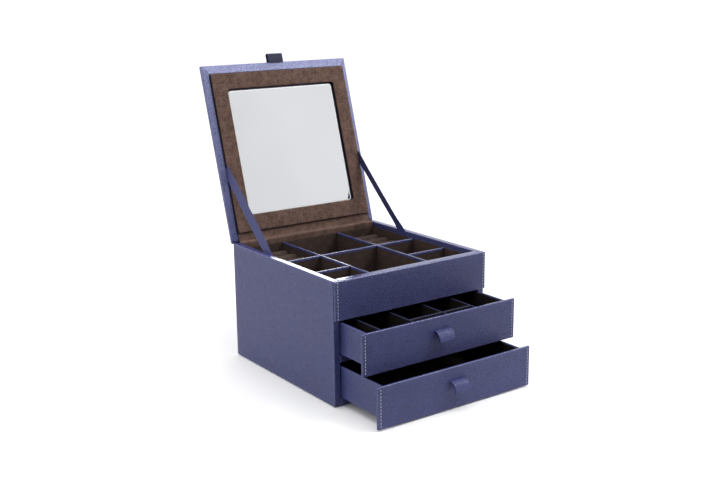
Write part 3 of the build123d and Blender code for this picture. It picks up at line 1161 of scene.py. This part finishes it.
# %% [markdown]
# ## Mirror
#
# The mirror is a flat plate with a narrow bevel all round, coloured white as a painted highlight
# for the bright line along its edge. It is a stack of rounded loops: the back, the side, the bevel
# and then the flat face. It is cut a little narrower than its opening, and its weight has settled
# it on the opening's lower edge, so the dark gap beside it is widest on the right.

# %% Mirror plate
BEVEL_WIDTH = 1.7 * MM
BEVEL_DEPTH = 0.3 * MM
GLASS_LIFT = 2.0 * MM
GLASS_DROP = 1.0 * MM
GLASS_TRIM = 0.9 * MM
glass_rest = glass_middle - Vector((GLASS_TRIM, GLASS_DROP, 0))
bm = bmesh.new()
loops = []
for inset, z in (
    (0.0, glass_low.z),
    (0.0, glass_high.z - BEVEL_DEPTH),
    (BEVEL_WIDTH, glass_high.z),
):
    half_x = glass_half.x - GLASS_TRIM - inset
    flat = rounded_loop(half_x, glass_half.y - inset, 4.0 * MM - inset, 12, 8)
    loops.append([Vector((p.x + glass_rest.x, p.y + glass_rest.y, z + GLASS_LIFT)) for p in flat])
join_loops(bm, loops, capped=True)
mirror = to_object(bm, "bevelled_mirror")
mirror.modifiers.clear()
mirror.data.shade_flat()
fix_on_lid(mirror, mirror_glass, "mirror", "mirror_glass")
# The bevel's faces take the white painted highlight.
mirror.data.materials.append(white_bevel_highlight)
for face in mirror.data.polygons:
    if 0.5 < face.normal.z < 0.999:
        face.material_index = 1
frame["nodes"]["mirror_backing"].data.materials[0] = backing_card
print("the mirror is", [round(side / MM, 1) for side in mirror.dimensions], "mm")

# %% [markdown]
# ## Lid tab
#
# The tab that lifts the lid is a strip of leather folded into a loop, with both ends glued under
# the wrap of the lid's top edge. It is one strip swept up, over a half circle and down again.

# %% Lid tab loop
tab_middle = (tab_low + tab_high) / 2
LOOP_LEATHER = 1.3 * MM
UNDER_WRAP = 0.8 * MM
loop_radius = (tab_high.z - tab_low.z) / 2 - LOOP_LEATHER / 2
straight_top = tab_high.y - loop_radius - LOOP_LEATHER / 2
path = [Vector((0, tab_low.y - UNDER_WRAP, tab_middle.z + loop_radius))]
for k in range(13):
    turn = math.radians(180 * k / 12)
    along = straight_top + loop_radius * math.sin(turn)
    path.append(Vector((0, along, tab_middle.z + loop_radius * math.cos(turn))))
path.append(Vector((0, tab_low.y - UNDER_WRAP, tab_middle.z - loop_radius)))
bm = bmesh.new()
sweep(bm, path, Vector((1, 0, 0)), tab_high.x - tab_low.x, LOOP_LEATHER)
cut_evenly(bm, tab_low, tab_high, TAB_SLICES)
lid_tab = to_object(bm, "lid_leather_tab")
# The tab takes the darkened navy leather, as painted shade.
fix_on_lid(lid_tab, matt_shaded_pu_leather, "tab_leather", "lid_tab")
print("the lid tab stands", round((tab_high.y - tab_low.y) / MM, 1), "mm proud")

# %% [markdown]
# ## Straps
#
# Two flat leather ribbons stop the lid from falling back. Each leaves the gap between the rim and
# the padded frame, and runs on edge, straight and tight, to a slot behind the tray's side lining.
# It is modelled directly as a thin swept strip, because a remesh would erase it. Shut inside the
# box it can't be seen, and there it still cuts into the boards beside it.

# %% Ends of a strap


def strap_ends(node):
    """The middle of the strap's tail in the case, and of its root on the lid's board."""
    points = [vert.co for vert in frame["nodes"][node].data.vertices]
    lowest = min(p.z for p in points)
    tail = [p for p in points if p.z < lowest + 0.1 * MM]
    back = lid_place.inverted()
    root = [p for p in points if (back @ p).z < board_high.z + 0.1 * MM]
    return sum(tail, Vector()) / len(tail), sum(root, Vector()) / len(root)


print("a strap's root is at height", round(strap_ends("left_strap")[1].z / MM, 1), "mm")

# %% Ribbon straps
STRAP_WIDTH = 15.0 * MM
STRAP_BOW = 0.5 * MM
OVER_RIM_TURN = 13
ROOT_TURN = 9
for side, sign in (("left", -1), ("right", 1)):
    node = f"{side}_strap"
    low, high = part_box(node)
    tail, root = strap_ends(node)
    slope = (root - tail).normalized()
    on_edge = Vector((1, 0, 0)).cross(slope)
    path = []
    widths = []
    for k in range(49):
        share = k / 48
        spot = tail.lerp(root, share)
        # A ribbon is never perfectly flat: it bows by a few tenths of a millimetre.
        spot.x += STRAP_BOW * math.sin(share * math.pi * 3) * share * (1 - share)
        path.append(spot)
        # The front edge turns inwards over the rim, and back where the ribbon meets the lid.
        over_rim = min(1.0, max(0.0, (share - 0.14) / 0.12))
        near_root = max(0.0, (share - 0.8) / 0.2)
        turn = math.radians(OVER_RIM_TURN * over_rim - ROOT_TURN * near_root)
        widths.append(on_edge * math.cos(turn) - Vector((sign, 0, 0)) * math.sin(turn))
    bm = bmesh.new()
    sweep(bm, path, widths, STRAP_WIDTH, high.x - low.x)
    strap = to_object(bm, f"{side}_ribbon_strap")
    dress(strap, ribbon_pu_leather, "ribbon_leather", node)
    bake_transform(strap)
    print(strap.name, "is", round((root - tail).length / MM, 1), "mm long")

# %% [markdown]
# ## Hinge band and spine
#
# There is no metal hinge. Inside, a suede band runs from under the mirror frame, over the back
# wall's top and down to the tray lining. Outside, the wrap leather runs from the back wall onto
# the lid's edge. Both are strips with soft creases where they fold.

# %% A path with rounded corners


def rounded_path(corners, radius, steps=4):
    """Points along a line of corners, with each inner corner rounded off."""
    points = [corners[0]]
    for before, corner, after in zip(corners, corners[1:], corners[2:]):
        cut = min(radius, (corner - before).length / 2, (after - corner).length / 2)
        start = corner + (before - corner).normalized() * cut
        end = corner + (after - corner).normalized() * cut
        for k in range(steps + 1):
            t = k / steps
            points.append(start.lerp(corner, t).lerp(corner.lerp(end, t), t))
    points.append(corners[-1])
    return points


wall_low, wall_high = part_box("back_wall")
print("the back wall's top is at", round(wall_high.z / MM, 1), "mm")

# %% Hinge band
band_low, band_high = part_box("hinge_band")
BAND = 0.8 * MM
CREASE_REACH = 1.4 * MM
HINGE_SLICES = 24
half = BAND / 2
corners = [
    Vector((0, wall_low.y - half, band_low.z)),
    Vector((0, wall_low.y - half, wall_high.z + half)),
    Vector((0, wall_high.y - half, wall_high.z + half)),
    on_lid(0, 12.5 * MM, -0.3 * MM + half),
]
bm = bmesh.new()
sweep(bm, rounded_path(corners, 1.6 * MM), Vector((1, 0, 0)), band_high.x - band_low.x, BAND)
cut_evenly(bm, band_low, band_high, HINGE_SLICES)
# Folding has left a raised crease along the wall's inner top edge and along the hinge.
for vert in bm.verts:
    for crease in (corners[1], corners[2]):
        away = (Vector((0, vert.co.y, vert.co.z)) - crease).length / CREASE_REACH
        if away < 1 and vert.co.z > wall_high.z:
            vert.co.z += 0.35 * MM * (1 - away * away)
            vert.co.y -= 0.2 * MM * (1 - away * away)
hinge_band = to_object(bm, "suede_hinge_band")
dress(hinge_band, brown_suede, "brown_suede", "hinge_band")
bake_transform(hinge_band)
print("the band is", round((band_high.x - band_low.x) / MM, 1), "mm wide")

# %% Spine leather
SPINE = 1.0 * MM
spine_low, spine_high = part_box("spine_leather")
corners = [
    Vector((0, wall_high.y + 0.5 * MM, spine_low.z)),
    Vector((0, wall_high.y + 0.5 * MM, wall_high.z - 1.0 * MM)),
    on_lid(0, -0.5 * MM, -1.6 * MM),
    on_lid(0, -0.5 * MM, board_low.z),
]
bm = bmesh.new()
sweep(bm, rounded_path(corners, 1.5 * MM), Vector((1, 0, 0)), spine_high.x - spine_low.x, SPINE)
cut_evenly(bm, spine_low, spine_high, HINGE_SLICES)
spine = to_object(bm, "leather_spine")
dress(spine, navy_pu_leather, "navy_leather", "spine_leather")
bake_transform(spine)
print("the spine is", round((spine_high.x - spine_low.x) / MM, 1), "mm wide")

# %% [markdown]
# ## Table, camera and light
#
# A product shot on white needs light from everywhere, so the world itself is a white studio. A
# large softbox overhead lightens the table and the tops of the boards, and a second one stands
# in front, to the right, where the mirror throws its light back over the left side of the tray.
# The camera stands to the left of the box and looks down at it a little.

# %% White table
table_sheet = bmesh.new()
bmesh.ops.create_grid(table_sheet, x_segments=1, y_segments=1, size=60.0)
table = to_object(table_sheet, "studio_table")
table.modifiers.clear()
matt_white, tree, shader = start_material(
    "Matt white paper sweep",
    {"Roughness": 0.9, "Emission Color": (1, 1, 1, 1), "Emission Strength": 0.02},
)
place = add_node(tree, "TexCoord").outputs["Object"]
tooth = add_node(tree, "TexNoise", {"Vector": place, "Scale": 1 / (3 * MM)})
paper = add_node(
    tree,
    "Mix",
    {MIX_FACTOR: tooth.outputs[0], MIX_A: linear("#FBFBFB"), MIX_B: linear("#FDFDFD")},
    data_type="RGBA",
)
# Seen straight, the paper is white. The light that it throws back on the box fades out towards
# the front, as if the white paper ended there, and that keeps the drawer fronts deep.
reach = add_node(tree, "VectorMath", {0: place, 1: (-0.25, -0.97, 0.0)}, operation="DOT_PRODUCT")
fade = add_node(
    tree,
    "MapRange",
    {
        "Value": reach.outputs["Value"],
        "From Min": 0.22,
        "From Max": 0.55,
        "To Min": 0.8,
        "To Max": 0.12,
    },
    interpolation_type="SMOOTHSTEP",
)
seen = add_node(tree, "LightPath").outputs["Is Camera Ray"]
thrown = add_node(
    tree, "VectorMath", {0: (1.0, 1.0, 1.0), "Scale": fade.outputs[0]}, operation="SCALE"
)
shown = add_node(
    tree,
    "Mix",
    {MIX_FACTOR: seen, MIX_A: thrown.outputs[0], MIX_B: paper.outputs[MIX_RESULT]},
    data_type="RGBA",
)
tree.links.new(shown.outputs[MIX_RESULT], shader.inputs["Base Color"])
table.data.materials.append(matt_white)
print("the table is", round(table.dimensions.x), "m wide")

# %% White world with a darker side behind the camera
WORLD_SEEN = 1.03
WORLD_BRIGHT, WORLD_DARK = 1.2, 0.14
scene = bpy.context.scene
world = bpy.data.worlds.new("White studio")
world.use_nodes = True
tree = world.node_tree
direction = add_node(tree, "TexCoord").outputs["Generated"]
towards_dark = add_node(
    tree, "VectorMath", {0: direction, 1: (-0.42, -0.90, 0.05)}, operation="DOT_PRODUCT"
)
studio = add_node(
    tree,
    "MapRange",
    {
        "Value": towards_dark.outputs["Value"],
        "From Min": 0.48,
        "From Max": 0.88,
        "To Min": WORLD_BRIGHT,
        "To Max": WORLD_DARK,
    },
    interpolation_type="SMOOTHSTEP",
)
seen = add_node(tree, "LightPath").outputs["Is Camera Ray"]
glow = add_node(
    tree,
    "Mix",
    {MIX_FACTOR: seen, NUMBER_A: studio.outputs[0], NUMBER_B: WORLD_SEEN},
    data_type="FLOAT",
)
background = tree.nodes["Background"]
background.inputs["Color"].default_value = (1, 1, 1, 1)
tree.links.new(glow.outputs[0], background.inputs["Strength"])
scene.world = world
# The Standard view keeps white paper white.
scene.view_settings.view_transform = "Standard"
print("the studio's dark side has", round(WORLD_DARK / WORLD_BRIGHT, 2), "of the light")

# %% Softboxes


def softbox(name, place, target, width, power):
    """A square area light that looks at a target."""
    lamp = bpy.data.lights.new(name, "AREA")
    lamp.shape = "SQUARE"
    lamp.size = width
    lamp.energy = power
    holder = bpy.data.objects.new(name, lamp)
    bpy.context.scene.collection.objects.link(holder)
    aim = (Vector(target) - Vector(place)).to_track_quat("-Z", "Y")
    holder.matrix_world = Matrix.Translation(place) @ aim.to_matrix().to_4x4()
    print(name, "gives", power, "W from", width, "m")


softbox("overhead_softbox", (-0.3, -0.1, 2.4), (0, 0, 0.1), 2.0, 17.0)
softbox("front_right_softbox", (1.02, -0.93, 1.56), (0, 0.15, 0.25), 0.6, 13.5)

# %% Camera
view_turn = math.radians(35.30)
view_dip = math.radians(13.62)
view_roll = math.radians(-0.69)
forward = Vector(
    (
        math.sin(view_turn) * math.cos(view_dip),
        math.cos(view_turn) * math.cos(view_dip),
        -math.sin(view_dip),
    )
)
level = forward.cross(Vector((0, 0, 1))).normalized()
upright = level.cross(forward)
right = level * math.cos(view_roll) + upright * math.sin(view_roll)
up = upright * math.cos(view_roll) - level * math.sin(view_roll)
camera_data = bpy.data.cameras.new("product_camera")
camera_data.lens = 52.52
camera_data.sensor_width = 36.0
camera = bpy.data.objects.new("product_camera", camera_data)
scene.collection.objects.link(camera)
camera.matrix_world = (
    Matrix.Translation((-0.8513, -1.2128, 0.5437))
    @ Matrix((right, up, -forward)).transposed().to_4x4()
)
scene.camera = camera
print("the camera is", round(camera.location.length, 3), "m from the middle of the base")
